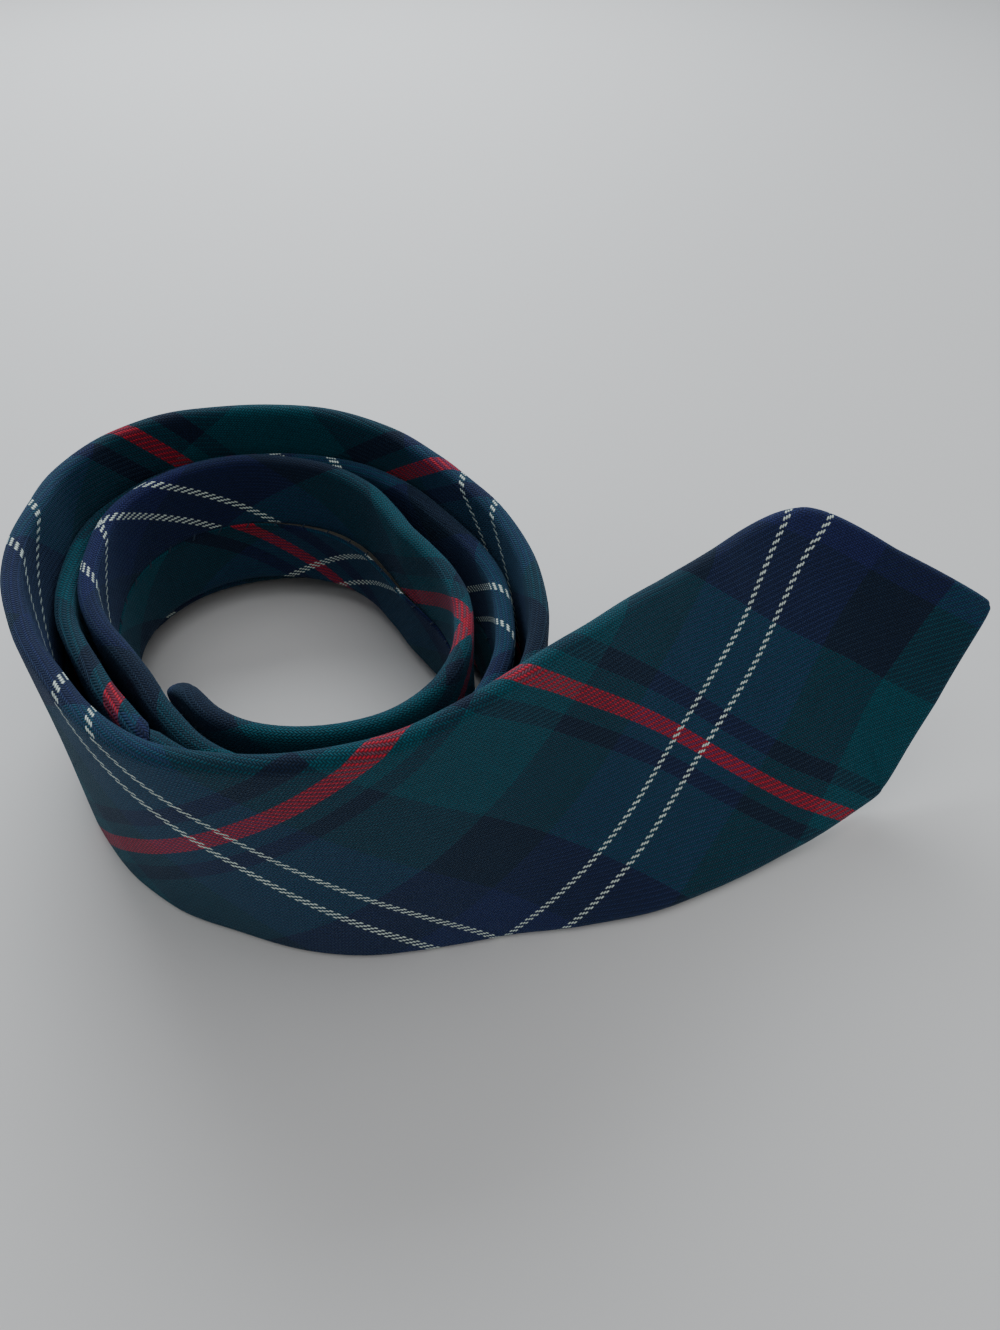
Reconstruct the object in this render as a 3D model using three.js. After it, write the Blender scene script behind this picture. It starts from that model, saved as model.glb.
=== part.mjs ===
// A tartan wool necktie, loosely rolled up and standing on its edge, with the blade's free end leaning back.
// Millimetres, +Z up, +X towards the blade's point, -Y towards the blade's face. The origin is under the
// middle of the whole tie, on the surface that it stands on.
//
// Every piece is first placed on the tie laid flat: s runs along it from the blade's point, q across it
// (up, once rolled) and n out of its face. place(s, q, n) then puts that spot on the rolled tie.
import * as THREE from "three";

// The tie laid flat
const bladeWidth = 85; // widest, at the blade's shoulders
const neckWidth = 44;
const tailWidth = 46; // at the narrow end's shoulders
const taperLength = 950; // from the blade's shoulders to the neck
const taperPower = 1.6;
const tieThickness = 5; // over the soft folded edges

// Cloths, threads and the room between them
const clothThickness = 0.8;
const tippingThickness = 0.4;
const loopThickness = 0.7;
const threadThickness = 0.5;
const gap = 0.3;
const threadGap = 0.35; // beside a thread, in the seam that it closes

// Places along the tie, measured from the blade's point
const bladeTackAt = 110;
const loopAt = 126;
const swingAt = 160; // where the free end leaves the roll
const neckSeamAt = 620;
const tailSeamAt = 975;
const tailTackFromEnd = 62;

// Sizes of the small pieces
const hem = 14; // cloth turned in along the pointed ends
const flapSlope = 0.42; // how fast the back flaps part below the tack
const tippingOverlap = 8; // tipping that runs on under the flaps
const loopWidth = 13;
const loopSpan = 48;
const loopRoom = 2; // between the loop and the tie's back
const tackLength = 10;
const tackWidth = 2.4;
const swingGap = 2; // lets the free end turn on the roll

// The roll, seen from above: its outermost turn bulges in and out of a circle at every 45 degrees, and each
// further turn lies inside the one before by the tie's thickness and a little slack
const rollRadius = 66;
const rollCentre = new THREE.Vector2(-54.6, 4.17);
const outline = [20, 8.5, -3, -1.5, 10, 3, -9, -5, 5];
const slackWidth = 85; // a wider blade leans further out of the roll, and so needs more slack
const slack = [4.2, 5.2, 1.3, 1, 1.6, 1.2, 2.5, 4.9, 2.8, 3.7, 1, 1, 2, 7.5, 5.5, 6.3, 8, 3.6, 11];
const knotAngle = 45;
const rollStart = 52; // degrees clockwise from +X
const rollEnd = 1246;
const rollStep = 14;
// The free end, from its point back to the roll, as steps from where the roll starts
const freeEnd = [
  [128.5, 66],
  [108.5, 61],
  [87.5, 54],
  [65.5, 39.5],
  [44.5, 25],
  [23.5, 12],
];
// How far the tie leans back, in degrees, and how high its lower edge is, at places along it
const twistEnd = 280;
const lean = [
  [0, 35],
  [42, 35],
  [70, 32],
  [98, 26],
  [125, 15],
  [145, 5],
  [swingAt, 0],
  [185, -4],
  [212, -6],
  [245, -1],
  [twistEnd, 0],
];
const lift = [
  [0, 10],
  [42, 3],
  [90, 0],
  [500, 0],
  [620, 2.5],
  [700, 2.5],
  [760, 2.5],
  [880, 4],
  [1000, 5],
  [1060, 9],
  [1150, 9],
  [1210, 5],
  [1270, 3],
  [1352, 0],
];

const stationStep = 12; // along the roll
const twistStep = 5; // along the free end and the start of the roll, which twist as they lean
const foldRadius = tieThickness / 2;
const foldAngles = [-90, -30, 30, 90]; // the flat between the middle two is what the tie stands on
const flatAngle = 30;
const up = new THREE.Vector3(0, 0, 1);

// A smooth curve through knots [x, y], flat beyond its ends.
function through(knots, x) {
  const last = knots.length - 1;
  if (x <= knots[0][0]) return knots[0][1];
  if (x >= knots[last][0]) return knots[last][1];
  const i = knots.findIndex((knot) => knot[0] > x) - 1;
  const slopeAt = (k) => {
    const before = knots[Math.max(k - 1, 0)];
    const after = knots[Math.min(k + 1, last)];
    return (after[1] - before[1]) / (after[0] - before[0]);
  };
  const [x0, y0] = knots[i];
  const [x1, y1] = knots[i + 1];
  const span = x1 - x0;
  const t = (x - x0) / span;
  const rise = y0 + (y1 - y0) * t * t * (3 - 2 * t);
  return rise + span * t * (1 - t) * ((1 - t) * slopeAt(i) - t * slopeAt(i + 1));
}

// The route of the tie's middle, from the blade's point to the narrow end's.
function rollRadii() {
  const radii = outline.map((bulge) => rollRadius + bulge);
  for (const room of slack) {
    radii.push(radii[radii.length - 8] - tieThickness - (room * bladeWidth) / slackWidth);
  }
  return radii.map((radius, k) => [knotAngle * (k + 1), radius]);
}

function makeRoute() {
  const radii = rollRadii();
  const onRoll = (degrees) => {
    const angle = THREE.MathUtils.degToRad(degrees);
    const radius = through(radii, degrees);
    const spot = new THREE.Vector2(Math.cos(angle), -Math.sin(angle));
    return spot.multiplyScalar(radius).add(rollCentre);
  };
  const start = onRoll(rollStart);
  const steps = Math.round((rollEnd - rollStart) / rollStep);
  const points = freeEnd.map(([x, y]) => new THREE.Vector3(start.x + x, start.y + y, 0));
  for (let k = 0; k <= steps; k++) {
    const spot = onRoll(rollStart + ((rollEnd - rollStart) * k) / steps);
    points.push(new THREE.Vector3(spot.x, spot.y, 0));
  }
  const route = new THREE.CatmullRomCurve3(points, false, "catmullrom", 0.5);
  route.arcLengthDivisions = 3000;
  return route;
}

const route = makeRoute();
const tieLength = route.getLength();

function halfWidth(s) {
  const taper = THREE.MathUtils.clamp(1 - (s - bladeWidth / 2) / taperLength, 0, 1);
  const neckAt = bladeWidth / 2 + taperLength;
  const flare = THREE.MathUtils.clamp((s - neckAt) / (tieLength - neckAt), 0, 1);
  const blade = (bladeWidth - neckWidth) * taper ** taperPower;
  const width = neckWidth + blade + (tailWidth - neckWidth) * flare;
  return width / 2;
}

// Both ends come to a right-angled point.
function clothHalfWidth(s) {
  return Math.min(halfWidth(s), s, tieLength - s);
}

// Half of the opening between the back flaps: a thread's seam, parted below each tack.
function seamHalfWidth(s) {
  const closed = threadThickness / 2 + threadGap;
  const fromBlade = flapSlope * (bladeTackAt - s);
  const fromTail = flapSlope * (s - (tieLength - tailTackFromEnd));
  const parted = Math.min(Math.max(fromBlade, fromTail), clothHalfWidth(s) - hem);
  return Math.max(parted, closed);
}

function leanAt(s) {
  return THREE.MathUtils.degToRad(through(lean, s));
}

// The middle of the tie at s, high enough for its lower edge to stand on the table.
function middleAt(s) {
  const along = THREE.MathUtils.clamp(s / tieLength, 0, 1);
  const angle = leanAt(s);
  const flat = THREE.MathUtils.degToRad(flatAngle);
  const edge = halfWidth(s) - foldRadius * (1 - Math.cos(flat));
  const tilt = foldRadius * Math.sin(flat) * Math.abs(Math.sin(angle));
  const middle = route.getPointAt(along);
  middle.z = Math.max(through(lift, s), 0) + edge * Math.cos(angle) + tilt;
  return middle;
}

function place(s, q, n) {
  const reach = 1;
  const along = middleAt(s + reach).sub(middleAt(s - reach)).normalize();
  const upright = up.clone().addScaledVector(along, -along.z).normalize();
  const inward = new THREE.Vector3().crossVectors(along, upright);
  const angle = leanAt(s);
  const across = upright.multiplyScalar(Math.cos(angle)).addScaledVector(inward, Math.sin(angle));
  const outward = new THREE.Vector3().crossVectors(across, along);
  return middleAt(s).addScaledVector(across, q).addScaledVector(outward, n);
}

// A closed solid between an outer and an inner grid of points with the same rows and columns.
function closedSheet(outer, inner) {
  const rows = outer.length;
  const columns = outer[0].length;
  const points = [...outer.flat(), ...inner.flat()];
  const outside = (row, column) => row * columns + column;
  const inside = (row, column) => rows * columns + outside(row, column);
  const faces = [];
  const quad = (a, b, c, d) => faces.push(a, b, c, a, c, d);
  for (let i = 0; i + 1 < rows; i++) {
    for (let j = 0; j + 1 < columns; j++) {
      quad(outside(i, j), outside(i, j + 1), outside(i + 1, j + 1), outside(i + 1, j));
      quad(inside(i, j), inside(i + 1, j), inside(i + 1, j + 1), inside(i, j + 1));
    }
    quad(outside(i, 0), outside(i + 1, 0), inside(i + 1, 0), inside(i, 0));
    const end = columns - 1;
    quad(outside(i, end), inside(i, end), inside(i + 1, end), outside(i + 1, end));
  }
  for (let j = 0; j + 1 < columns; j++) {
    const end = rows - 1;
    quad(outside(0, j), inside(0, j), inside(0, j + 1), outside(0, j + 1));
    quad(outside(end, j), outside(end, j + 1), inside(end, j + 1), inside(end, j));
  }
  const geometry = new THREE.BufferGeometry().setFromPoints(points);
  geometry.setIndex(faces);
  geometry.computeVertexNormals();
  return geometry;
}

// Places along the whole tie, through every spot where a cloth ends or its outline turns. All layers share
// them, so that they keep their gaps on the curve.
function makeGrid(stops) {
  const grid = [stops[0]];
  for (let k = 1; k < stops.length; k++) {
    const length = stops[k] - stops[k - 1];
    const step = stops[k] > twistEnd ? stationStep : twistStep;
    const count = Math.max(1, Math.round(length / step));
    for (let i = 1; i <= count; i++) {
      grid.push(stops[k - 1] + (length * i) / count);
    }
  }
  return grid;
}

const tipInset = 4;
const seamGap = threadThickness + 2 * threadGap;
const tailTackAt = tieLength - tailTackFromEnd;
const swingFrom = swingAt - swingGap / 2;
const swingTo = swingAt + swingGap / 2;
const neckSeam = [neckSeamAt - seamGap / 2, neckSeamAt + seamGap / 2];
const tailSeam = [tailSeamAt - seamGap / 2, tailSeamAt + seamGap / 2];
const innerInset = 2 * tipInset; // the layers inside stop short of the cloth's ends
const bladeTippingTo = bladeTackAt + tippingOverlap;
const tailTippingFrom = tailTackAt - tippingOverlap;
const loopEdges = [loopAt - loopWidth / 2, loopAt + loopWidth / 2];
const grid = makeGrid([
  tipInset,
  innerInset,
  bladeWidth / 2,
  bladeTackAt,
  bladeTackAt + tackWidth,
  bladeTippingTo,
  ...loopEdges,
  swingFrom,
  swingTo,
  twistEnd,
  ...neckSeam,
  ...tailSeam,
  tailTippingFrom,
  tailTackAt - tackWidth,
  tailTackAt,
  tieLength - tailWidth / 2,
  tieLength - innerInset,
  tieLength - tipInset,
]);

function stations(from, to) {
  return [from, ...grid.filter((s) => s > from && s < to), to];
}

// The folded cloth's section as [q, n]: back flap, fold, face, fold, back flap. A twisted length has points
// part of the way across too.
function foldedSection(s, inset, twisted) {
  const radius = foldRadius - inset;
  const foldAt = clothHalfWidth(s) - foldRadius;
  const seamAt = seamHalfWidth(s);
  const fold = foldAngles.map((degrees) => {
    const angle = THREE.MathUtils.degToRad(degrees);
    return [foldAt + radius * Math.cos(angle), radius * Math.sin(angle)];
  });
  const onFlap = twisted ? [[(seamAt + foldAt) / 2, -radius]] : [];
  const onFace = twisted ? [[foldAt / 2, radius]] : [];
  const half = [[seamAt, -radius], ...onFlap, ...fold, ...onFace];
  const otherHalf = half.map(([q, n]) => [-q, n]);
  return [...otherHalf, ...half.reverse()];
}

function cloth(from, to) {
  const places = stations(from, to);
  const section = (s, inset) => foldedSection(s, inset, to < swingAt);
  const layer = (inset) => places.map((s) => section(s, inset).map(([q, n]) => place(s, q, n)));
  return closedSheet(layer(0), layer(clothThickness));
}

// A flat layer at depth n, with half its width given by a function of s.
function flatLayer(places, halfAt, outerN, innerN, shares = [-1, 1]) {
  const layer = (n) => places.map((s) => shares.map((share) => place(s, share * halfAt(s), n)));
  return closedSheet(layer(outerN), layer(innerN));
}

const backInside = -(foldRadius - clothThickness);
const tippingInner = backInside + gap;
const tippingOuter = tippingInner + tippingThickness;
const interliningInner = tippingOuter + gap;
const interliningOuter = foldRadius - clothThickness - gap;
const interliningHalf = (s) => clothHalfWidth(s) - foldRadius;
const tippingHalf = (s) => Math.min(clothHalfWidth(s) - tipInset, seamHalfWidth(s) + tippingOverlap);

function interlining(from, to) {
  const shares = to < swingAt ? [-1, -0.5, 0.5, 1] : [-1, 1];
  return flatLayer(stations(from, to), interliningHalf, interliningOuter, interliningInner, shares);
}

function tipping(from, to) {
  return flatLayer(stations(from, to), tippingHalf, tippingOuter, tippingInner, [-1, 0, 1]);
}

// The hidden stitching that closes the centre back.
function slipStitch(from, to) {
  const outer = -foldRadius + clothThickness - threadThickness / 4;
  const half = () => threadThickness / 2;
  return flatLayer(stations(from, to), half, outer, outer - threadThickness);
}

// The row of stitches that joins two lengths of cloth, across the face.
function seamStitches(s) {
  const outer = foldRadius - threadThickness / 4;
  const half = (at) => clothHalfWidth(at) - foldRadius;
  const places = [s - threadThickness / 2, s + threadThickness / 2];
  return flatLayer(places, half, outer, outer - threadThickness);
}

function barTack(from, to) {
  const outer = -foldRadius - gap;
  return flatLayer(stations(from, to), () => tackLength / 2, outer, outer - threadThickness);
}

// The loop that keeps the narrow end: sewn down at both ends, standing off the back between them.
function keeperLoop() {
  const sewn = 0.85; // shares of the half span: sewn down beyond this
  const rise = 0.65; // and clear of the back inside this
  const shares = [-1, -sewn, -rise, 0, rise, sewn, 1];
  const depth = (share) => -foldRadius - 2 * gap - (Math.abs(share) > rise ? 0 : loopRoom);
  const layer = (inset) =>
    stations(...loopEdges).map((s) => shares.map((share) => place(s, (share * loopSpan) / 2, depth(share) - inset)));
  return closedSheet(layer(0), layer(loopThickness));
}

function loopTack(side) {
  const outer = -foldRadius - 3 * gap - loopThickness;
  const middle = side * (loopSpan / 2 - tackWidth / 2 - gap);
  const across = [middle - threadThickness, middle + threadThickness];
  const layer = (n) => stations(...loopEdges).map((s) => across.map((q) => place(s, q, n)));
  return closedSheet(layer(outer), layer(outer - threadThickness));
}

const tartan = { color: 0x12303a, roughness: 0.95, metalness: 0 };
const wool = { color: 0xb9b2a0, roughness: 1, metalness: 0 };
const lining = { color: 0x10182e, roughness: 0.55, metalness: 0 };
const thread = { color: 0x0f1d2c, roughness: 0.8, metalness: 0 };

const tie = new THREE.Group();
function add(name, finish, geometry) {
  const mesh = new THREE.Mesh(geometry, new THREE.MeshStandardMaterial(finish));
  mesh.name = name;
  tie.add(mesh);
}

add("blade_cloth_free_end", tartan, cloth(tipInset, swingFrom));
add("blade_cloth_rolled", tartan, cloth(swingTo, neckSeam[0]));
add("neck_cloth", tartan, cloth(neckSeam[1], tailSeam[0]));
add("tail_cloth", tartan, cloth(tailSeam[1], tieLength - tipInset));
add("interlining_free_end", wool, interlining(innerInset, swingFrom));
add("interlining_rolled", wool, interlining(swingTo, tieLength - innerInset));
add("blade_tipping", lining, tipping(innerInset, bladeTippingTo));
add("tail_tipping", lining, tipping(tailTippingFrom, tieLength - innerInset));
add("slip_stitch_free_end", thread, slipStitch(bladeTackAt, swingFrom));
add("slip_stitch_rolled", thread, slipStitch(swingTo, tailTackAt));
add("blade_bar_tack", thread, barTack(bladeTackAt, bladeTackAt + tackWidth));
add("tail_bar_tack", thread, barTack(tailTackAt - tackWidth, tailTackAt));
add("neck_seam_stitches", thread, seamStitches(neckSeamAt));
add("tail_seam_stitches", thread, seamStitches(tailSeamAt));
add("keeper_loop", tartan, keeperLoop());
add("loop_tack_upper", thread, loopTack(1));
add("loop_tack_lower", thread, loopTack(-1));

// The origin goes under the middle of the tie.
const box = new THREE.Box3().setFromObject(tie);
const middle = box.getCenter(new THREE.Vector3());
tie.position.set(-middle.x, -middle.y, -box.min.z);

export default tie;
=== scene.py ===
import math

import bpy
import numpy as np
from mathutils import Matrix, Vector


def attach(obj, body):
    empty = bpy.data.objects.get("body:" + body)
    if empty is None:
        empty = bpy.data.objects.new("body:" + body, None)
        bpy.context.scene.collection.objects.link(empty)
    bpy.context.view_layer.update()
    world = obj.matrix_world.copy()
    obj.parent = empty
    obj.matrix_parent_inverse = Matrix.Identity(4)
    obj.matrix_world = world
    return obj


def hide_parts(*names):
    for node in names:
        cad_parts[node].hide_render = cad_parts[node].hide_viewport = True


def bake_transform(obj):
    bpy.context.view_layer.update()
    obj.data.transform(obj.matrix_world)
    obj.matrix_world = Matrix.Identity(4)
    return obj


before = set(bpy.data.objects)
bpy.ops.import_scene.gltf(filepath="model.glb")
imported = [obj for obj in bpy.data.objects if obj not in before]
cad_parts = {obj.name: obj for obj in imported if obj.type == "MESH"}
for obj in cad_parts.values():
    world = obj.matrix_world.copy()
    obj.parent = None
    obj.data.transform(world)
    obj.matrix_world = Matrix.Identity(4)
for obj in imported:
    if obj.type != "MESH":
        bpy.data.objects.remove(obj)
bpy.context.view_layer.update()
bpy.ops.object.select_all(action="DESELECT")
print("frame loaded")

mm = 0.001
random = np.random.default_rng(7)

# ---- the tie laid flat: s runs along it from the blade's point, q across it, n out of its face
tie = {
    "bladeWidth": 85,
    "neckWidth": 44,
    "tailWidth": 46,
    "taperLength": 950,
    "taperPower": 1.6,
    "foldRadius": 2.5,  # half the thickness over the soft folded edges
    "cloth": 0.5,
    "cornerSoftness": 7.5,  # at the shoulders
    "pointSoftness": 1.5,  # at the two points
    "hem": 14,  # cloth turned in along the pointed ends
    "flapSlope": 0.42,  # how fast the back flaps part below a tack
    "turnedUnder": 4,  # at the flaps' edges
    "bladeTackAt": 110,
    "loopAt": 126,
    "neckSeamAt": 620,
    "tailSeamAt": 975,
    "tailTackFromEnd": 62,
}

# ---- the roll seen from above: knots every 45 degrees clockwise, each turn inside the last
roll = {
    "radius": 66,
    "centre": (-54.6, 4.17),
    "outline": [20, 8.5, -3, -1.5, 10, 3, -9, -5, 5],
    "slack": [4.2, 5.2, 1.3, 1, 1.6, 1.2, 2.5, 4.9, 2.8, 3.7, 1, 1, 2, 7.5, 5.5, 6.3, 8, 3.6, 11],
    "turn": 5,  # thickness of one turn
    "knotAngle": 45,
    "start": 52,
    "end": 1246,
    "step": 14,
    "freeEnd": [(128.5, 66), (108.5, 61), (87.5, 54), (65.5, 39.5), (44.5, 25), (23.5, 12)],
    "lean": [
        (0, 35), (42, 35), (70, 32), (98, 26), (125, 15), (145, 5), (160, 0), (185, -4), (212, -6), (245, -1),
        (280, 0),
    ],
    "lift": [
        (0, 10), (42, 3), (90, 0), (500, 0), (620, 2.5), (700, 2.5), (760, 2.5), (880, 4), (1000, 5),
        (1060, 9), (1150, 9), (1210, 5), (1270, 3), (1352, 0),
    ],
}


def through(knots, x):  # a smooth curve through knots (x, y), flat beyond its ends
    kx, ky = np.array(knots, float).T
    x = np.clip(np.asarray(x, float), kx[0], kx[-1])
    slope = np.empty_like(ky)
    slope[1:-1] = (ky[2:] - ky[:-2]) / (kx[2:] - kx[:-2])
    slope[0] = (ky[1] - ky[0]) / (kx[1] - kx[0])
    slope[-1] = (ky[-1] - ky[-2]) / (kx[-1] - kx[-2])
    i = np.clip(np.searchsorted(kx, x, side="right") - 1, 0, len(kx) - 2)
    span = kx[i + 1] - kx[i]
    t = (x - kx[i]) / span
    rise = ky[i] + (ky[i + 1] - ky[i]) * t * t * (3 - 2 * t)
    return rise + span * t * (1 - t) * ((1 - t) * slope[i] - t * slope[i + 1])


def makeRoute():  # the tie's middle line, from the blade's point to the narrow end's, seen from above
    radii = [roll["radius"] + bulge for bulge in roll["outline"]]
    for room in roll["slack"]:
        radii.append(radii[-8] - roll["turn"] - room)
    knots = [(roll["knotAngle"] * (k + 1), radius) for k, radius in enumerate(radii)]
    steps = round((roll["end"] - roll["start"]) / roll["step"])
    degrees = np.linspace(roll["start"], roll["end"], steps + 1)
    radius, angle = through(knots, degrees), np.radians(degrees)
    turns = np.stack([radius * np.cos(angle), -radius * np.sin(angle)], 1) + roll["centre"]
    points = np.vstack([turns[0] + np.array(roll["freeEnd"], float), turns])
    ends = [2 * points[0] - points[1], 2 * points[-1] - points[-2]]
    points = np.vstack([ends[0], points, ends[1]])
    t = np.linspace(0, 1, 60, endpoint=False)[:, None]
    line = []
    for a, b, c, d in zip(points, points[1:], points[2:], points[3:]):
        p, r = (c - a) / 2, (d - b) / 2
        line.append(b + p * t + (3 * (c - b) - 2 * p - r) * t**2 + (2 * (b - c) + p + r) * t**3)
    line = np.vstack([*line, points[-2:-1]])
    run = np.concatenate([[0], np.cumsum(np.linalg.norm(np.diff(line, axis=0), axis=1))])
    return run, line


routeRun, routeLine = makeRoute()
tieLength = routeRun[-1]
tailTackAt = tieLength - tie["tailTackFromEnd"]
print(f"route: {tieLength:.0f} mm from point to point")


def halfWidth(s):
    neckAt = tie["bladeWidth"] / 2 + tie["taperLength"]
    taper = np.clip((neckAt - s) / tie["taperLength"], 0, 1) ** tie["taperPower"]
    flare = np.clip((s - neckAt) / (tieLength - neckAt), 0, 1)
    blade = (tie["bladeWidth"] - tie["neckWidth"]) * taper
    return (tie["neckWidth"] + blade + (tie["tailWidth"] - tie["neckWidth"]) * flare) / 2


def clothHalfWidth(s):  # both ends come to a right-angled point, with soft corners
    fromPoint = np.maximum(np.minimum(s, tieLength - s), 0)
    limit = np.sqrt(fromPoint * (fromPoint + 2 * tie["pointSoftness"]))
    width = halfWidth(s)
    return (width + limit - np.hypot(width - limit, tie["cornerSoftness"])) / 2


def seamHalfWidth(s, closed):  # half the opening between the back flaps
    fromBlade = tie["flapSlope"] * (tie["bladeTackAt"] - s)
    fromTail = tie["flapSlope"] * (s - tailTackAt)
    parted = np.minimum(np.maximum(fromBlade, fromTail), clothHalfWidth(s) - tie["hem"])
    return np.maximum(parted, closed)


def middleAt(s):  # high enough for the lower edge to stand on the table
    s = np.clip(s, 0, tieLength)
    angle = np.radians(through(roll["lean"], s))
    edge = halfWidth(s) - tie["foldRadius"] * (1 - math.cos(math.radians(30)))
    tilt = tie["foldRadius"] * 0.5 * np.abs(np.sin(angle))
    z = np.maximum(through(roll["lift"], s), 0) + edge * np.cos(angle) + tilt
    x, y = (np.interp(s, routeRun, routeLine[:, k]) for k in range(2))
    return np.stack([x, y, z], -1)


def unit(v):
    return v / np.linalg.norm(v, axis=-1, keepdims=True)


def place(s, q, n):  # where a spot of the flat tie lies on the rolled one, in metres
    s, q, n = np.broadcast_arrays(*(np.asarray(v, float) for v in (s, q, n)))
    along = unit(middleAt(s + 1) - middleAt(s - 1))
    upright = unit(np.array([0, 0, 1.0]) - along * along[..., 2:])
    inward = np.cross(along, upright)
    angle = np.radians(through(roll["lean"], s))[..., None]
    across = upright * np.cos(angle) + inward * np.sin(angle)
    outward = np.cross(across, along)
    return (middleAt(s) + across * q[..., None] + outward * n[..., None]) * mm


# ---- making meshes
def makeObject(name, points, faces, material, flat=None):
    mesh = bpy.data.meshes.new(name)
    mesh.from_pydata(points.tolist(), [], faces)
    if flat is not None:
        layer = mesh.uv_layers.new(name="flatCloth")
        corners = np.empty(len(mesh.loops), int)
        mesh.loops.foreach_get("vertex_index", corners)
        layer.data.foreach_set("uv", (flat[corners] * mm).astype(np.float32).ravel())
    mesh.materials.append(material)
    mesh.update()
    piece = bpy.data.objects.new(name, mesh)
    bpy.context.collection.objects.link(piece)
    return piece


def closedSheet(name, outer, inner, material, flat=None):  # a sheet between two grids of points
    rows, columns = outer.shape[:2]
    index = np.arange(rows * columns).reshape(rows, columns)
    under = index + rows * columns

    def quads(a, b, c, d):
        return np.stack([a.ravel(), b.ravel(), c.ravel(), d.ravel()], 1).tolist()

    faces = quads(index[:-1, :-1], index[:-1, 1:], index[1:, 1:], index[1:, :-1])
    faces += quads(under[:-1, :-1], under[1:, :-1], under[1:, 1:], under[:-1, 1:])
    faces += quads(index[:-1, 0], index[1:, 0], under[1:, 0], under[:-1, 0])
    faces += quads(index[:-1, -1], under[:-1, -1], under[1:, -1], index[1:, -1])
    faces += quads(index[0, :-1], under[0, :-1], under[0, 1:], index[0, 1:])
    faces += quads(index[-1, :-1], index[-1, 1:], under[-1, 1:], under[-1, :-1])
    points = np.concatenate([outer.reshape(-1, 3), inner.reshape(-1, 3)])
    if flat is not None:
        flat = np.tile(flat.reshape(-1, 2), (2, 1))
    return makeObject(name, points, faces, material, flat)


def smooth(piece, degrees=50):
    bpy.ops.object.select_all(action="DESELECT")
    piece.select_set(True)
    bpy.context.view_layer.objects.active = piece
    bpy.ops.object.shade_smooth_by_angle(angle=math.radians(degrees))
    piece.select_set(False)


# ---- materials
class Wire:  # a shader socket that takes part in sums
    def __init__(self, shader, socket):
        self.shader, self.socket = shader, socket

    def sum(self, operation, *values):
        return self.shader.node("Math", {"operation": operation}, *values)

    def __add__(self, other):
        return self.sum("ADD", self, other)

    __radd__ = __add__

    def __sub__(self, other):
        return self.sum("SUBTRACT", self, other)

    def __rsub__(self, other):
        return self.sum("SUBTRACT", other, self)

    def __mul__(self, other):
        return self.sum("MULTIPLY", self, other)

    __rmul__ = __mul__

    def __truediv__(self, other):
        return self.sum("DIVIDE", self, other)

    def __mod__(self, other):
        return self.sum("FLOORED_MODULO", self, other)

    def __lt__(self, other):
        return self.sum("LESS_THAN", self, other)

    def floor(self):
        return self.sum("FLOOR", self)

    def abs(self):
        return self.sum("ABSOLUTE", self)


class Shader:
    def __init__(self, name):
        self.material = bpy.data.materials.new(name)
        self.material.use_nodes = True
        self.tree = self.material.node_tree
        self.surface = next(n for n in self.tree.nodes if n.type == "BSDF_PRINCIPLED")

    def node(self, kind, settings=None, *values, output=0, **named):
        made = self.tree.nodes.new("ShaderNode" + kind)
        for key, value in (settings or {}).items():
            if key == "stops":
                self.setStops(made.color_ramp, value)
            else:
                setattr(made, key, value)
        for key, value in [*enumerate(values), *((k.replace("_", " "), v) for k, v in named.items())]:
            self.feed(made.inputs[key], value)
        return Wire(self, made.outputs[output])

    def setStops(self, ramp, stops):
        while len(ramp.elements) < len(stops):
            ramp.elements.new(1)
        for element, (at, colour) in zip(ramp.elements, stops):
            element.position = at
            element.color = (*colour, 1)

    def feed(self, socket, value):
        if isinstance(value, Wire):
            self.tree.links.new(value.socket, socket)
        else:
            socket.default_value = value

    def blendColours(self, share, first, second):
        made = self.tree.nodes.new("ShaderNodeMix")
        made.data_type = "RGBA"
        for socket, value in ((made.inputs[0], share), (made.inputs[6], first), (made.inputs[7], second)):
            self.feed(socket, value)
        return Wire(self, made.outputs[2])

    def set(self, **values):
        for key, value in values.items():
            self.feed(self.surface.inputs[key.replace("_", " ")], value)
        return self.material


sett = {
    "navy": (0.012, 0.017, 0.092),
    "green": (0.0018, 0.072, 0.098),
    "black": (0.004, 0.013, 0.036),
    "red": (0.47, 0.014, 0.036),
    "cream": (0.70, 0.80, 0.72),
    "half": 78.3,  # from the middle of a red line to the middle of a navy square
    "edges": [2.1, 5.9, 10.5, 35.9, 56.8],  # red, green, black, green, black, then navy
    "creamFromNavy": 4.7,  # a cream line each side of the navy square's middle
    "creamWidth": 1.7,
    "yarn": 0.5,
    "blended": 0.72,  # how far the brushed dark yarns hide which one is on top
    "beadEnds": 0.75,  # how far a float sinks towards its ends
    "paintedHollowShade": 0.26,  # painted shade: brightness between the floats
    "paintedCrownLight": 0.92,  # and how much more on top of one, a painted highlight
    "plain": 0.55,  # the rest of the brightness is uneven
    "heather": 0.4,
    "patches": 0.25,
    "fleck": 0.3,
}


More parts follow.
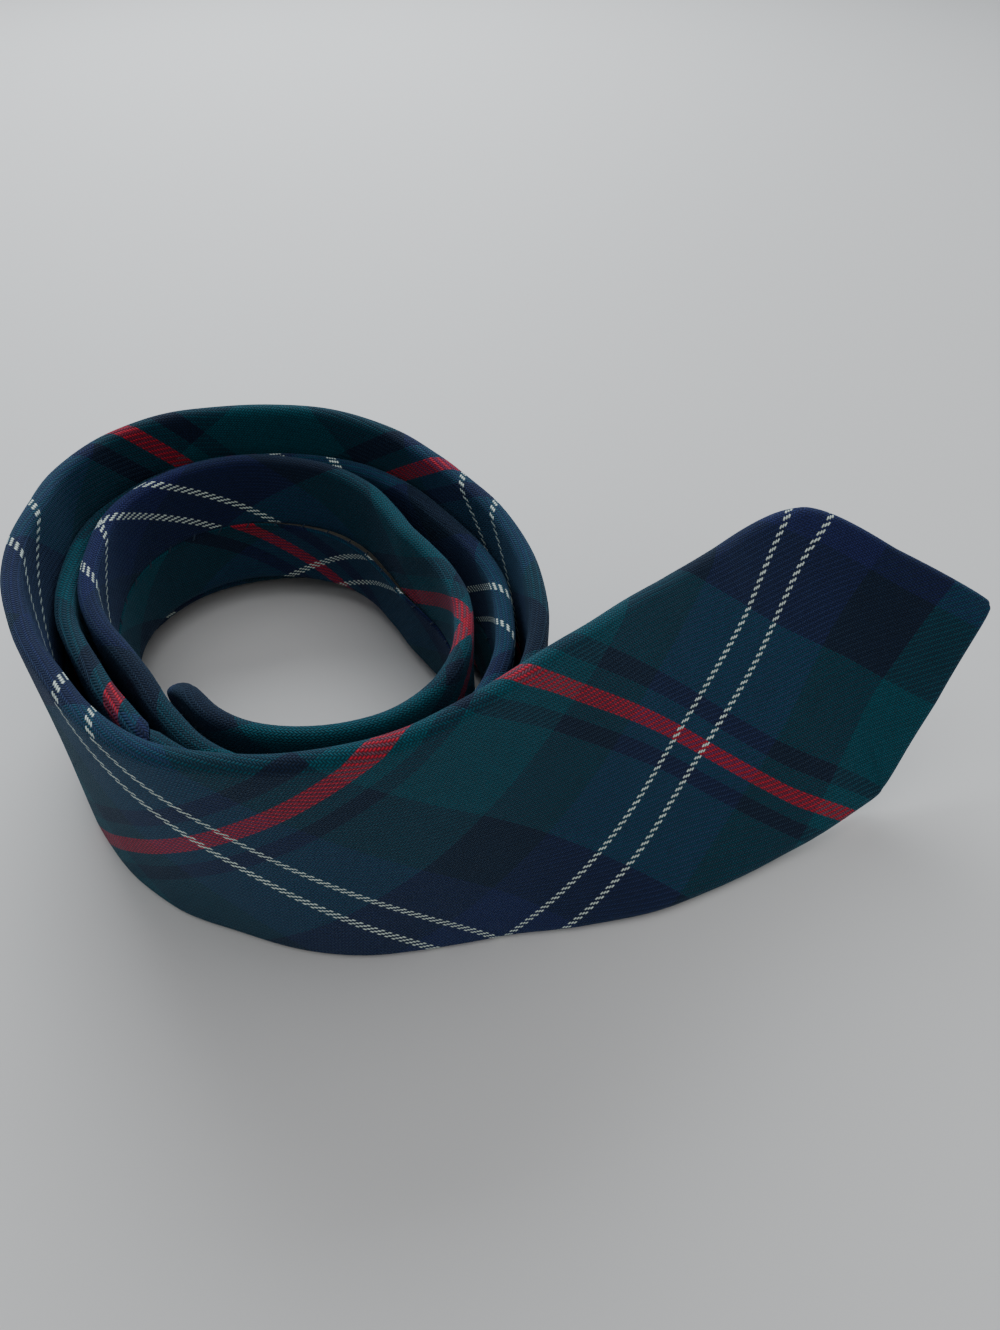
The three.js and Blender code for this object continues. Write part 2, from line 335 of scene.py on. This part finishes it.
def tartanWool(name):
    wool = Shader(name)
    flatSpot = wool.node("SeparateXYZ", {}, wool.node("UVMap", {"uv_map": "flatCloth"}))
    oneWay = flatSpot / mm  # distances along the two ways of the yarns, in millimetres
    otherWay = Wire(wool, flatSpot.socket.node.outputs[1]) / mm
    period = 2 * sett["half"]

    def fromRed(distance, red):  # how far a yarn lies from the nearest red line
        return ((distance - (red - sett["half"])) % period - sett["half"]).abs()

    def ground(distance):
        edges = [0, *sett["edges"]]
        colours = ["red", "green", "black", "green", "black", "navy"]
        stops = [(edge / sett["half"], sett[colour]) for edge, colour in zip(edges, colours)]
        made = wool.node("ValToRGB", {"stops": stops}, distance / sett["half"])
        made.socket.node.color_ramp.interpolation = "CONSTANT"
        return made

    def isCream(distance):
        return (distance - (sett["half"] - sett["creamFromNavy"])).abs() < sett["creamWidth"] / 2

    yarnOne, yarnOther = oneWay / sett["yarn"], otherWay / sett["yarn"]
    indexOne, indexOther = yarnOne.floor(), yarnOther.floor()
    onTop = ((indexOne - indexOther) % 4) < 1.5  # two over, two under, its lines along the tie
    redOne = fromRed((indexOne + 0.5) * sett["yarn"], sett["half"])
    redOther = fromRed((indexOther + 0.5) * sett["yarn"], 0)
    softTop = onTop * (1 - sett["blended"]) + sett["blended"] / 2
    base = wool.blendColours(softTop, ground(redOther), ground(redOne))
    # red and cream yarns show plainly where they are on top
    base = wool.blendColours(onTop * (redOne < sett["edges"][0]), base, (*sett["red"], 1))
    base = wool.blendColours((1 - onTop) * (redOther < sett["edges"][0]), base, (*sett["red"], 1))
    base = wool.blendColours(onTop * isCream(redOne), base, (*sett["cream"], 1))
    base = wool.blendColours((1 - onTop) * isCream(redOther), base, (*sett["cream"], 1))
    # each float is a small rounded bead: round across the yarn, and sinking at both ends; its height makes
    # the bump and also paints shade into the colour
    beadOne = ((indexOne - yarnOther + 2) % 4 - 2).abs()
    beadOther = ((yarnOne - indexOther - 1) % 4 - 2).abs()

    def bead(fromMiddle, yarn, index):
        across = (yarn - index - 0.5).abs() * 2
        return (1 - across * across) * (1 - fromMiddle * fromMiddle * sett["beadEnds"])

    height = onTop * bead(beadOne, yarnOne, indexOne) + (1 - onTop) * bead(beadOther, yarnOther, indexOther)
    spot = wool.node("TexCoord", {}, output=3)
    heather = wool.node("TexNoise", {}, output=0, Vector=spot, Scale=2400.0, Detail=2.0)
    crossing = wool.node("CombineXYZ", {}, indexOne, indexOther)
    fleck = wool.node("TexWhiteNoise", {"noise_dimensions": "2D"}, Vector=crossing)  # no two floats alike
    patches = wool.node("TexNoise", {}, output=0, Vector=spot, Scale=70.0, Detail=2.0)
    uneven = heather * sett["heather"] + patches * sett["patches"] + fleck * sett["fleck"]
    # painted shade: the colour darkens between the floats and towards their ends, times the wool's own uneven
    # heather, patches and flecks
    shade = (sett["paintedHollowShade"] + height * sett["paintedCrownLight"]) * (sett["plain"] + uneven)
    grey = wool.node("CombineXYZ", {}, shade, shade, shade)
    tinted = wool.node("VectorMath", {"operation": "MULTIPLY"}, base, grey)
    bump = wool.node("Bump", {}, Strength=0.85, Distance=0.0003, Height=height + heather * 0.35)
    return wool.set(
        Base_Color=tinted,
        Roughness=0.8,
        Normal=bump,
        Sheen_Weight=0.16,
        Sheen_Roughness=0.35,
        Sheen_Tint=(0.35, 0.65, 1.0, 1),
        Specular_IOR_Level=0.2,
    )


def plainWeave(name, colour, roughness, scale, sheen=0.1):
    weave = Shader(name)
    spot = weave.node("TexCoord", {}, output=3)
    fine = weave.node("TexNoise", {}, output=0, Vector=spot, Scale=scale, Detail=3.0)
    darker = (*(part * 0.75 for part in colour), 1)
    lighter = (*(min(part * 1.2, 1) for part in colour), 1)
    shade = weave.blendColours(fine, darker, lighter)
    bump = weave.node("Bump", {}, Strength=0.3, Distance=0.00012, Height=fine)
    return weave.set(
        Base_Color=shade, Roughness=roughness, Normal=bump, Sheen_Weight=sheen, Specular_IOR_Level=0.3
    )


tartan = tartanWool("tartanWool")
interliningWool = plainWeave("interliningWool", (0.62, 0.58, 0.49), 0.95, 1800)
tippingCloth = plainWeave("tippingSatin", (0.02, 0.035, 0.085), 0.5, 2500)
sewingThread = plainWeave("sewingThread", (0.02, 0.04, 0.07), 0.7, 3000)
print("materials made")

# ---- cloths
panel = {
    "faceColumns": 11,
    "foldColumns": 10,
    "flapColumns": 9,
    "rowStep": 2,
    "endRows": 50,  # this near the points, rows lie 1 mm apart
    "dip": 0.35,  # the middle of the face lies lower than its padded edges
    "fullFrom": 3.2,  # how soon the folds fill out, away from the points
    "pointRoom": 0.9,  # the mesh stops this far short of each point
    "seamRoom": 0.2,  # and this far short of a seam
    "seamRoll": 1.2,  # cloth rolls in this far beside a seam
    "rollIn": 0.7,
    "slantReach": 150,  # how far from a slanted seam the rows straighten up
    "turnRadius": 0.45,  # at the flaps' turned edges
    "flapRoom": 0.12,  # between the two flaps' edges
    "gapes": [(1190, 38, 2.2), (1030, 40, 0.8)],  # the lower flap stands off here: where, how long, how far
    "closedGape": 0.15,
    "upperGape": 0.1,
    "tuckLifts": 0.6,  # share of the gape that its turned-in cloth rises by
}


# where the lines of the tartan cross each cloth: bias-cut wool stretches unevenly, so each way of the yarns
# has its own knots (place along the tie, distance along the yarns) and its own slant to the tie
bladeSett = {
    "oneWay": [(89.5, 0), (217.8, 78.3), (351.3, 156.6), (505, 234.9), (640, 313.2)],
    "oneSlant": 1.3,
    "otherWay": [(-22, -78.3), (97.8, 0), (193, 78.3), (323, 156.6), (448, 234.9), (574, 313.2)],
    "otherSlant": 1.03,
    "drift": (97, 28, 5, 42),  # the face's cloth sits lower here: where, how long, by how much, how wide
}
neckSett = {
    "oneWay": [(639, 0), (824, 78.3), (939, 156.6), (1060, 234.9)],
    "oneSlant": 1.2,
    "otherWay": [(631, 0), (785, 78.3), (918, 156.6)],
    "otherSlant": 1.2,
}
tailSett = {
    "oneWay": [(979, 78.3), (1129, 156.6), (1292, 234.9), (1450, 313.2)],
    "oneSlant": 1.6,
    "otherWay": [(926, 0), (1076, 78.3), (1223, 156.6), (1376, 234.9)],
    "otherSlant": 1.6,
}


def alongKnots(knots, x):  # straight between the knots, and on beyond them
    kx, ky = np.array(knots, float).T
    i = np.clip(np.searchsorted(kx, x) - 1, 0, len(kx) - 2)
    return ky[i] + (x - kx[i]) * (ky[i + 1] - ky[i]) / (kx[i + 1] - kx[i])


def alongYarns(pattern, s, q):  # where a spot of the cut cloth lies in the tartan
    if "drift" in pattern:
        at, spread, size, half = pattern["drift"]
        q = q - size * np.exp(-(((s - at) / spread) ** 2)) * np.clip(1 - (q / half) ** 2, 0, 1)
    one = alongKnots(pattern["oneWay"], s + pattern["oneSlant"] * q)
    other = alongKnots(pattern["otherWay"], s - pattern["otherSlant"] * q)
    return np.stack([one, other], -1)


def waves(s, phase, lengths=(37, 61, 97), size=1.0):  # an uneven hand-rolled line along the tie
    turns = [np.sin(s / length * 2 * math.pi + phase * (k + 1)) for k, length in enumerate(lengths)]
    return size * sum(turns) / len(turns)


def swayAt(s, q):  # how far the whole thickness wavers in and out
    return waves(s, 1.3, size=0.35) + waves(s, 0.4, (23, 41, 71), 0.22) * q / 30


def gapeAt(s):  # how far the lower back flap's edge stands off
    bumps = (size * np.exp(-(((s - at) / spread) ** 2)) for at, spread, size in panel["gapes"])
    return panel["closedGape"] + sum(bumps)


def halfSection(s, side):  # from the face's middle round one fold to the flap's turned edge
    width = clothHalfWidth(s)
    radius = tie["foldRadius"] * (1 - np.exp(-width / panel["fullFrom"]))
    thickness = np.minimum(tie["cloth"], 0.35 * radius)  # thinner only at the very points
    mid = radius - thickness / 2
    foldAt = width - radius
    seam = seamHalfWidth(s, np.minimum(panel["flapRoom"], 0.1 * width))
    t = np.linspace(0, 1, panel["faceColumns"])[1:]
    faceQ = foldAt[:, None] * t
    faceN = mid[:, None] - panel["dip"] * (radius / tie["foldRadius"])[:, None] * (1 - t**2) ** 2
    angle = np.radians(np.linspace(90, -90, panel["foldColumns"]))[1:]
    foldQ = foldAt[:, None] + mid[:, None] * np.cos(angle)
    foldN = mid[:, None] * np.sin(angle)
    t = np.linspace(0, 1, panel["flapColumns"])[1:]
    flapQ = foldAt[:, None] + (seam - foldAt)[:, None] * t
    closed = np.exp(-((seam / 2) ** 2))
    gape = (gapeAt(s) if side < 0 else np.full_like(s, panel["upperGape"])) * closed
    flapN = -mid[:, None] - gape[:, None] * t**3
    turn = np.minimum(panel["turnRadius"], 0.25 * radius)
    angle = np.radians([-45, 0, 45, 90])
    turnQ = (seam + turn)[:, None] - turn[:, None] * np.cos(angle)
    turnN = (flapN[:, -1] + turn)[:, None] + turn[:, None] * np.sin(angle)
    tuck = np.clip(np.minimum(tie["turnedUnder"], foldAt - seam - 1), 0.05, None)
    t = np.array([0.5, 1])
    backQ = (seam + turn)[:, None] + tuck[:, None] * t
    backN = (flapN[:, -1] + 2 * turn)[:, None] + (panel["tuckLifts"] * gape)[:, None] * t
    flapQ[:, -1] = seam + turn
    q = np.concatenate([faceQ, foldQ, flapQ, turnQ, backQ], 1)
    n = np.concatenate([faceN, foldN, flapN, turnN, backN], 1)
    apex = foldAt + mid * math.pi / 2
    return q, n, apex, thickness


def foldedCloth(name, start, end, pattern, startSlant=0, endSlant=0):
    endRows = panel["endRows"]
    early = np.arange(start, min(end, endRows), 1.0) if start < endRows else np.array([])
    late = np.arange(max(end - endRows, start), end, 1.0) if end > tieLength - endRows else np.array([])
    low = early[-1] + 1 if len(early) else start
    high = late[0] if len(late) else end
    count = round((high - low) / panel["rowStep"])
    rows = np.concatenate([early, np.linspace(low, high, count, endpoint=not len(late)), late])
    if len(late):
        rows = np.append(rows, end)
    halves = [halfSection(rows, side) for side in (-1, 1)]
    thickness = halves[0][3][:, None]
    (leftQ, leftN, apex, _), (rightQ, rightN, _, _) = halves
    fullness = 1 - np.exp(-clothHalfWidth(rows) / panel["fullFrom"])
    mid = (tie["foldRadius"] * fullness - thickness[:, 0] / 2)[:, None]
    faceMid = mid - panel["dip"] * (mid / (tie["foldRadius"] - tie["cloth"] / 2))
    q = np.concatenate([-leftQ[:, ::-1], 0 * faceMid, rightQ], 1)
    n = np.concatenate([leftN[:, ::-1], faceMid, rightN], 1)
    step = np.hypot(np.diff(q, axis=1), np.diff(n, axis=1))
    run = np.concatenate([0 * faceMid, np.cumsum(step, 1)], 1)
    centre = leftQ.shape[1]
    run = run - run[:, centre : centre + 1]  # distance across the cut cloth
    # unfold: beyond each fold the cloth is mirrored across the fold's line
    lineSlope = (clothHalfWidth(rows + 0.5) - clothHalfWidth(rows - 0.5))[:, None]
    beyond = np.clip(np.abs(run) - apex[:, None], 0, None)
    turnShare = 1 + lineSlope**2
    flatS = rows[:, None] - 2 * beyond * lineSlope / turnShare
    flatQ = np.sign(run) * (np.abs(run) - beyond + beyond * (1 - lineSlope**2) / turnShare)
    # slanting ends, where two lengths of cloth are joined
    reach = panel["slantReach"]
    nearStart = np.clip(1 - (rows - start) / reach, 0, 1)[:, None] ** 1.5 if startSlant else 0
    nearEnd = np.clip(1 - (end - rows) / reach, 0, 1)[:, None] ** 1.5 if endSlant else 0
    slant = (nearStart * startSlant + nearEnd * endSlant) * run
    s = rows[:, None] + slant
    # the edges beside a seam roll in
    fromSeam = np.full(len(rows), tieLength)
    if startSlant:
        fromSeam = np.minimum(fromSeam, rows - start)
    if endSlant:
        fromSeam = np.minimum(fromSeam, end - rows)
    rollIn = (panel["rollIn"] * np.exp(-((fromSeam / panel["seamRoll"]) ** 2)))[:, None]
    dq, dn = np.gradient(q, axis=1), np.gradient(n, axis=1)
    size = np.maximum(np.hypot(dq, dn), 1e-9)
    normalQ, normalN = -dn / size, dq / size
    outerQ, outerN = q + normalQ * (thickness / 2 - rollIn), n + normalN * (thickness / 2 - rollIn)
    innerQ, innerN = q - normalQ * (thickness / 2 + rollIn), n - normalN * (thickness / 2 + rollIn)
    sway = swayAt(s, q)
    rise = 1 + np.where(q > 0, waves(s, 2.1, (53, 83, 131), 0.008), 0)
    flat = alongYarns(pattern, flatS + slant, flatQ)
    piece = closedSheet(
        name, place(s, outerQ * rise, outerN + sway), place(s, innerQ * rise, innerN + sway), tartan, flat
    )
    area = float(np.trapz(run[:, -1] - run[:, 0], rows)) * mm * mm
    width = float((run[:, -1] - run[:, 0]).max() + 1) * mm
    length = float(end - start + (startSlant + endSlant > 0) * width * 500) * mm
    smooth(piece)
    print(f"{name}: {width * 1000:.0f} by {length * 1000:.0f} mm, {area:.4f} square metres")
    return piece, (width, length), area


seamRoom, pointRoom = panel["seamRoom"], panel["pointRoom"]
bladeCloth, bladeFlat, bladeArea = foldedCloth(
    "bladeCloth", pointRoom, tie["neckSeamAt"] - seamRoom, bladeSett, endSlant=1
)
neckStart, neckEnd = tie["neckSeamAt"] + seamRoom, tie["tailSeamAt"] - seamRoom
neckCloth, neckFlat, neckArea = foldedCloth(
    "neckCloth", neckStart, neckEnd, neckSett, startSlant=1, endSlant=1
)
tailCloth, tailFlat, tailArea = foldedCloth(
    "tailCloth", tie["tailSeamAt"] + seamRoom, tieLength - pointRoom, tailSett, startSlant=1
)

# ---- the layers inside
inside = {
    "interliningTop": 1.35,
    "interliningUnder": -0.6,
    "tippingTop": -0.75,
    "tippingUnder": -1.0,
    "interliningInset": 8,  # from each point
    "interliningRoom": 0.2,  # beside the folds
    "interliningColumns": 9,
    "tippingInset": 6,  # from each point
    "tippingColumns": 13,
    "tipInset": 4,  # from the slanting edges
    "tippingOverlap": 8,  # under the flaps, and past the tack
    "flapRoom": 0.6,
    "step": 4,
}


def flatLayer(name, start, end, halfAt, top, under, material, columns):
    rows = np.linspace(start, end, round((end - start) / inside["step"]) + 1)[:, None]
    shares = np.linspace(-1, 1, columns)[None]
    q = halfAt(rows) * shares
    sway = swayAt(rows, q)
    piece = closedSheet(name, place(rows, q, top + sway), place(rows, q, under + sway), material)
    smooth(piece)
    area = float(np.trapz(2 * halfAt(rows)[:, 0], rows[:, 0])) * mm * mm
    width = float(2 * halfAt(rows).max()) * mm
    return piece, (width, float(end - start) * mm), min(area, width * (end - start) * mm)


def interliningHalf(s):
    return clothHalfWidth(s) - tie["foldRadius"] - inside["interliningRoom"]


def tippingHalf(s):
    underFlaps = seamHalfWidth(s, inside["flapRoom"]) + inside["tippingOverlap"]
    return np.minimum(clothHalfWidth(s) - inside["tipInset"], underFlaps)


def tipping(name, start, end):
    heights = inside["tippingTop"], inside["tippingUnder"]
    return flatLayer(name, start, end, tippingHalf, *heights, tippingCloth, inside["tippingColumns"])


interlining, interliningFlat, interliningArea = flatLayer(
    "interlining",
    inside["interliningInset"],
    tieLength - inside["interliningInset"],
    interliningHalf,
    inside["interliningTop"],
    inside["interliningUnder"],
    interliningWool,
    inside["interliningColumns"],
)
bladeTipping, bladeTippingFlat, bladeTippingArea = tipping(
    "bladeTipping", inside["tippingInset"], tie["bladeTackAt"] + inside["tippingOverlap"]
)
tailTipping, tailTippingFlat, tailTippingArea = tipping(
    "tailTipping", tailTackAt - inside["tippingOverlap"], tieLength - inside["tippingInset"]
)
print("layers inside made")

# ---- keeper loop: a folded strip across the back
loop = {
    "width": 13,
    "span": 48,
    "thickness": 1.2,
    "depth": -3.25,  # where it is sewn down
    "standOff": 1.3,
    "sewn": 0.85,  # shares of the half span: sewn down beyond this one
    "rise": 0.6,  # and fully clear within this one
    "flatFrom": 20,  # where its strip was cut, across the tartan
    "rings": 41,
    "ringStep": 15,  # degrees
    "squareness": 0.25,
}


def makeLoop():
    shares = np.linspace(-1, 1, loop["rings"])[:, None]
    lifted = np.clip((loop["sewn"] - np.abs(shares)) / (loop["sewn"] - loop["rise"]), 0, 1)
    depth = loop["depth"] - loop["standOff"] * lifted**2 * (3 - 2 * lifted)
    around = np.radians(np.arange(0, 360, loop["ringStep"]))[None]
    corner = np.sign(np.cos(around)) * np.abs(np.cos(around)) ** loop["squareness"] * loop["width"] / 2
    lift = np.sin(around) * loop["thickness"] / 2
    sway = swayAt(tie["loopAt"], 0)
    points = place(tie["loopAt"] + corner, shares * loop["span"] / 2, depth + lift + sway)
    rows, columns = points.shape[:2]
    index = np.arange(rows * columns).reshape(rows, columns)
    nextColumn = np.roll(index, -1, 1)
    quads = [index[:-1], index[1:], nextColumn[1:], nextColumn[:-1]]
    faces = np.stack([part.ravel() for part in quads], 1).tolist()
    faces += [index[0].tolist(), index[-1, ::-1].tolist()]
    alongStrip = shares * loop["span"] / 2 + loop["flatFrom"]
    flat = np.stack(np.broadcast_arrays(alongStrip, corner + lift), -1).reshape(-1, 2)
    piece = makeObject("keeperLoop", points.reshape(-1, 3), faces, tartan, flat)
    smooth(piece)
    return piece


keeperLoop = makeLoop()

# ---- stitches: one is shaped once, and the rest are copies laid along their seams
stitch = {
    "length": 3.2,
    "radius": 0.24,
    "slipEvery": 9,
    "slipDepth": -2.75,
    "slipFollows": 0.7,  # how much of the gape the stitches go down with
    "slipTurn": 62,  # degrees from along the tie
    "slipTurnVaries": 8,
    "slipAsideVaries": 0.1,
    "slipSag": 0.5,
    "seamEvery": 2.6,
    "seamLength": 1.9,
    "seamRadius": 0.8,  # share of the other stitches' radius
    "seamDepth": 1.95,
    "seamSag": 0.15,
    "tackEvery": 0.42,
    "tackWraps": 2.6,  # length of one turn of thread over a bar
    "tackSag": 0.35,
    "tackSkew": 0.2,
    "tackIn": 1.2,  # how far the bars sit inside the ends of the seam
    "tackDepth": -3.0,
    "tackLength": 9,
    "loopTackAside": 22.5,
    "loopTackDepth": -4.0,
    "loopTackLength": 10,
}


def oneStitch(length, radius, sag):
    bpy.ops.object.select_all(action="DESELECT")
    bpy.ops.mesh.primitive_uv_sphere_add(segments=8, ring_count=7, radius=1, rotation=(0, math.pi / 2, 0))
    made = bpy.context.object
    bpy.ops.object.transform_apply(location=False, rotation=True, scale=False)
    bpy.ops.object.mode_set(mode="EDIT")
    bpy.ops.mesh.select_all(action="SELECT")
    bpy.ops.transform.resize(value=(length / 2 * mm, radius * mm, radius * mm), center_override=(0, 0, 0))
    bpy.ops.object.mode_set(mode="OBJECT")
    for vertex in made.data.vertices:  # its ends dip into the cloth
        vertex.co.z -= sag * mm * (vertex.co.x / (length / 2 * mm)) ** 2
    return made


def layStitches(name, model, spots):  # spots: s, q, n and the stitch's turn in degrees from along the tie
    copies = []
    for s, q, n, turn in spots:
        here = Vector(place(s, q, n))
        reach = 0.5
        ahead = place(s + reach * math.cos(turn), q + reach * math.sin(turn), n)
        aside = place(s - reach * math.sin(turn), q + reach * math.cos(turn), n)
        along = (Vector(ahead) - here).normalized()
        across = (Vector(aside) - here).normalized()
        out = across.cross(along).normalized() * (1 if n > 0 else -1)
        across = out.cross(along)
        copy = model.copy()
        copy.data = model.data.copy()
        copy.data.transform(Matrix((along, across, out)).transposed().to_4x4())
        copy.data.transform(Matrix.Translation(here))
        bpy.context.collection.objects.link(copy)
        copies.append(copy)
    bpy.ops.object.select_all(action="DESELECT")
    for copy in copies:
        copy.select_set(True)
    bpy.context.view_layer.objects.active = copies[0]
    bpy.ops.object.join()
    piece = copies[0]
    piece.name = piece.data.name = name
    piece.data.materials.clear()
    piece.data.materials.append(sewingThread)
    smooth(piece)
    return piece


slipModel = oneStitch(stitch["length"], stitch["radius"], stitch["slipSag"])
slipPlaces = np.arange(tie["bladeTackAt"] + 5, tailTackAt - 3, stitch["slipEvery"])
slipSpots = []
for s in slipPlaces:
    aside, turned = random.standard_normal(2)
    depth = stitch["slipDepth"] - stitch["slipFollows"] * (gapeAt(s) - panel["closedGape"])
    turn = math.radians(stitch["slipTurn"] + stitch["slipTurnVaries"] * turned)
    slipSpots.append((s, stitch["slipAsideVaries"] * aside, depth, turn))
slipStitch = layStitches("slipStitch", slipModel, slipSpots)
bpy.data.objects.remove(slipModel)

seamModel = oneStitch(stitch["seamLength"], stitch["radius"] * stitch["seamRadius"], stitch["seamSag"])


def seamRow(name, seamAt):
    half = clothHalfWidth(seamAt) - tie["foldRadius"]
    depth = stitch["seamDepth"] - panel["dip"] / 2
    places = np.arange(-half, half, stitch["seamEvery"] / math.sqrt(2))
    return layStitches(name, seamModel, [(seamAt + q, q, depth, math.radians(45)) for q in places])


neckSeam = seamRow("neckSeamStitches", tie["neckSeamAt"])
tailSeam = seamRow("tailSeamStitches", tie["tailSeamAt"])
bpy.data.objects.remove(seamModel)

tackModel = oneStitch(stitch["tackWraps"], stitch["radius"], stitch["tackSag"])


def tackBar(name, s, q, n, turn, length):  # a bar of thread wound over and over
    count = round(length / stitch["tackEvery"])
    along = np.linspace(-length / 2, length / 2, count)
    threadTurn = turn + math.pi / 2 - stitch["tackSkew"]
    spots = [(s + d * math.cos(turn), q + d * math.sin(turn), n, threadTurn) for d in along]
    return layStitches(name, tackModel, spots)


def seamEndTack(name, s):
    return tackBar(name, s, 0, stitch["tackDepth"], math.pi / 2, stitch["tackLength"])


def loopTack(name, side):
    aside = side * stitch["loopTackAside"]
    return tackBar(name, tie["loopAt"], aside, stitch["loopTackDepth"], 0, stitch["loopTackLength"])


bladeTack = seamEndTack("bladeBarTack", tie["bladeTackAt"] + stitch["tackIn"])
tailTack = seamEndTack("tailBarTack", tailTackAt - stitch["tackIn"])
loopTacks = [loopTack("loopTackUpper", 1), loopTack("loopTackLower", -1)]
bpy.data.objects.remove(tackModel)
print("stitches laid")

# ---- how the pieces ride on the frame
for piece in (bladeCloth, interlining, slipStitch):
    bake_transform(piece)
for piece in (neckCloth, tailCloth, tailTipping, neckSeam, tailSeam, tailTack):
    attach(piece, "roll")
for piece in (bladeTipping, bladeTack, keeperLoop, *loopTacks):
    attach(piece, "free_end")

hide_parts("blade_cloth_free_end", "blade_cloth_rolled")
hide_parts("neck_cloth")
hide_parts("tail_cloth")
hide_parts("interlining_free_end", "interlining_rolled")
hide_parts("blade_tipping")
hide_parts("tail_tipping")
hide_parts("slip_stitch_free_end", "slip_stitch_rolled")
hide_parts("blade_bar_tack")
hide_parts("tail_bar_tack")
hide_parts("neck_seam_stitches")
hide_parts("tail_seam_stitches")
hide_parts("keeper_loop")
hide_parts("loop_tack_upper")
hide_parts("loop_tack_lower")

# ---- table, lights and camera
bpy.ops.mesh.primitive_plane_add(size=6, location=(0, 0, 0))
table = bpy.context.object
table.name = "tableTop"
paint = Shader("paleTable")
painted = paint.set(Base_Color=(0.72, 0.70, 0.67, 1), Roughness=0.6, Specular_IOR_Level=0.3)
table.data.materials.append(painted)

lights = {
    "window": {"at": (-0.25, 0.9, 0.75), "size": 0.9, "power": 14, "colour": (0.86, 0.93, 1.0)},
    "sky": {"at": (0.1, -0.1, 1.4), "size": 1.4, "power": 6, "colour": (0.95, 0.97, 1.0)},
    "room": {"at": (0.5, -0.9, 0.7), "size": 1.0, "power": 2, "colour": (1.0, 0.97, 0.93)},
}
for name, light in lights.items():
    bpy.ops.object.light_add(type="AREA", location=light["at"])
    lamp = bpy.context.object
    lamp.name = name
    lamp.data.size = light["size"]
    lamp.data.energy = light["power"]
    lamp.data.color = light["colour"]
    lamp.rotation_euler = (-Vector(light["at"])).to_track_quat("-Z", "Y").to_euler()
world = bpy.data.worlds.new("room")
world.use_nodes = True
world.node_tree.nodes["Background"].inputs["Color"].default_value = (0.80, 0.86, 0.95, 1)
world.node_tree.nodes["Background"].inputs["Strength"].default_value = 0.35
bpy.context.scene.world = world

view = {"at": (-0.0016, -0.1938, 0.214), "pitch": 44, "lens": 27.07}
bpy.ops.object.camera_add(location=view["at"], rotation=(math.radians(90 - view["pitch"]), 0, 0))
camera = bpy.context.object
camera.data.lens = view["lens"]
camera.data.sensor_width = 36
camera.data.clip_start = 0.01
bpy.context.scene.camera = camera
print("scene lit")
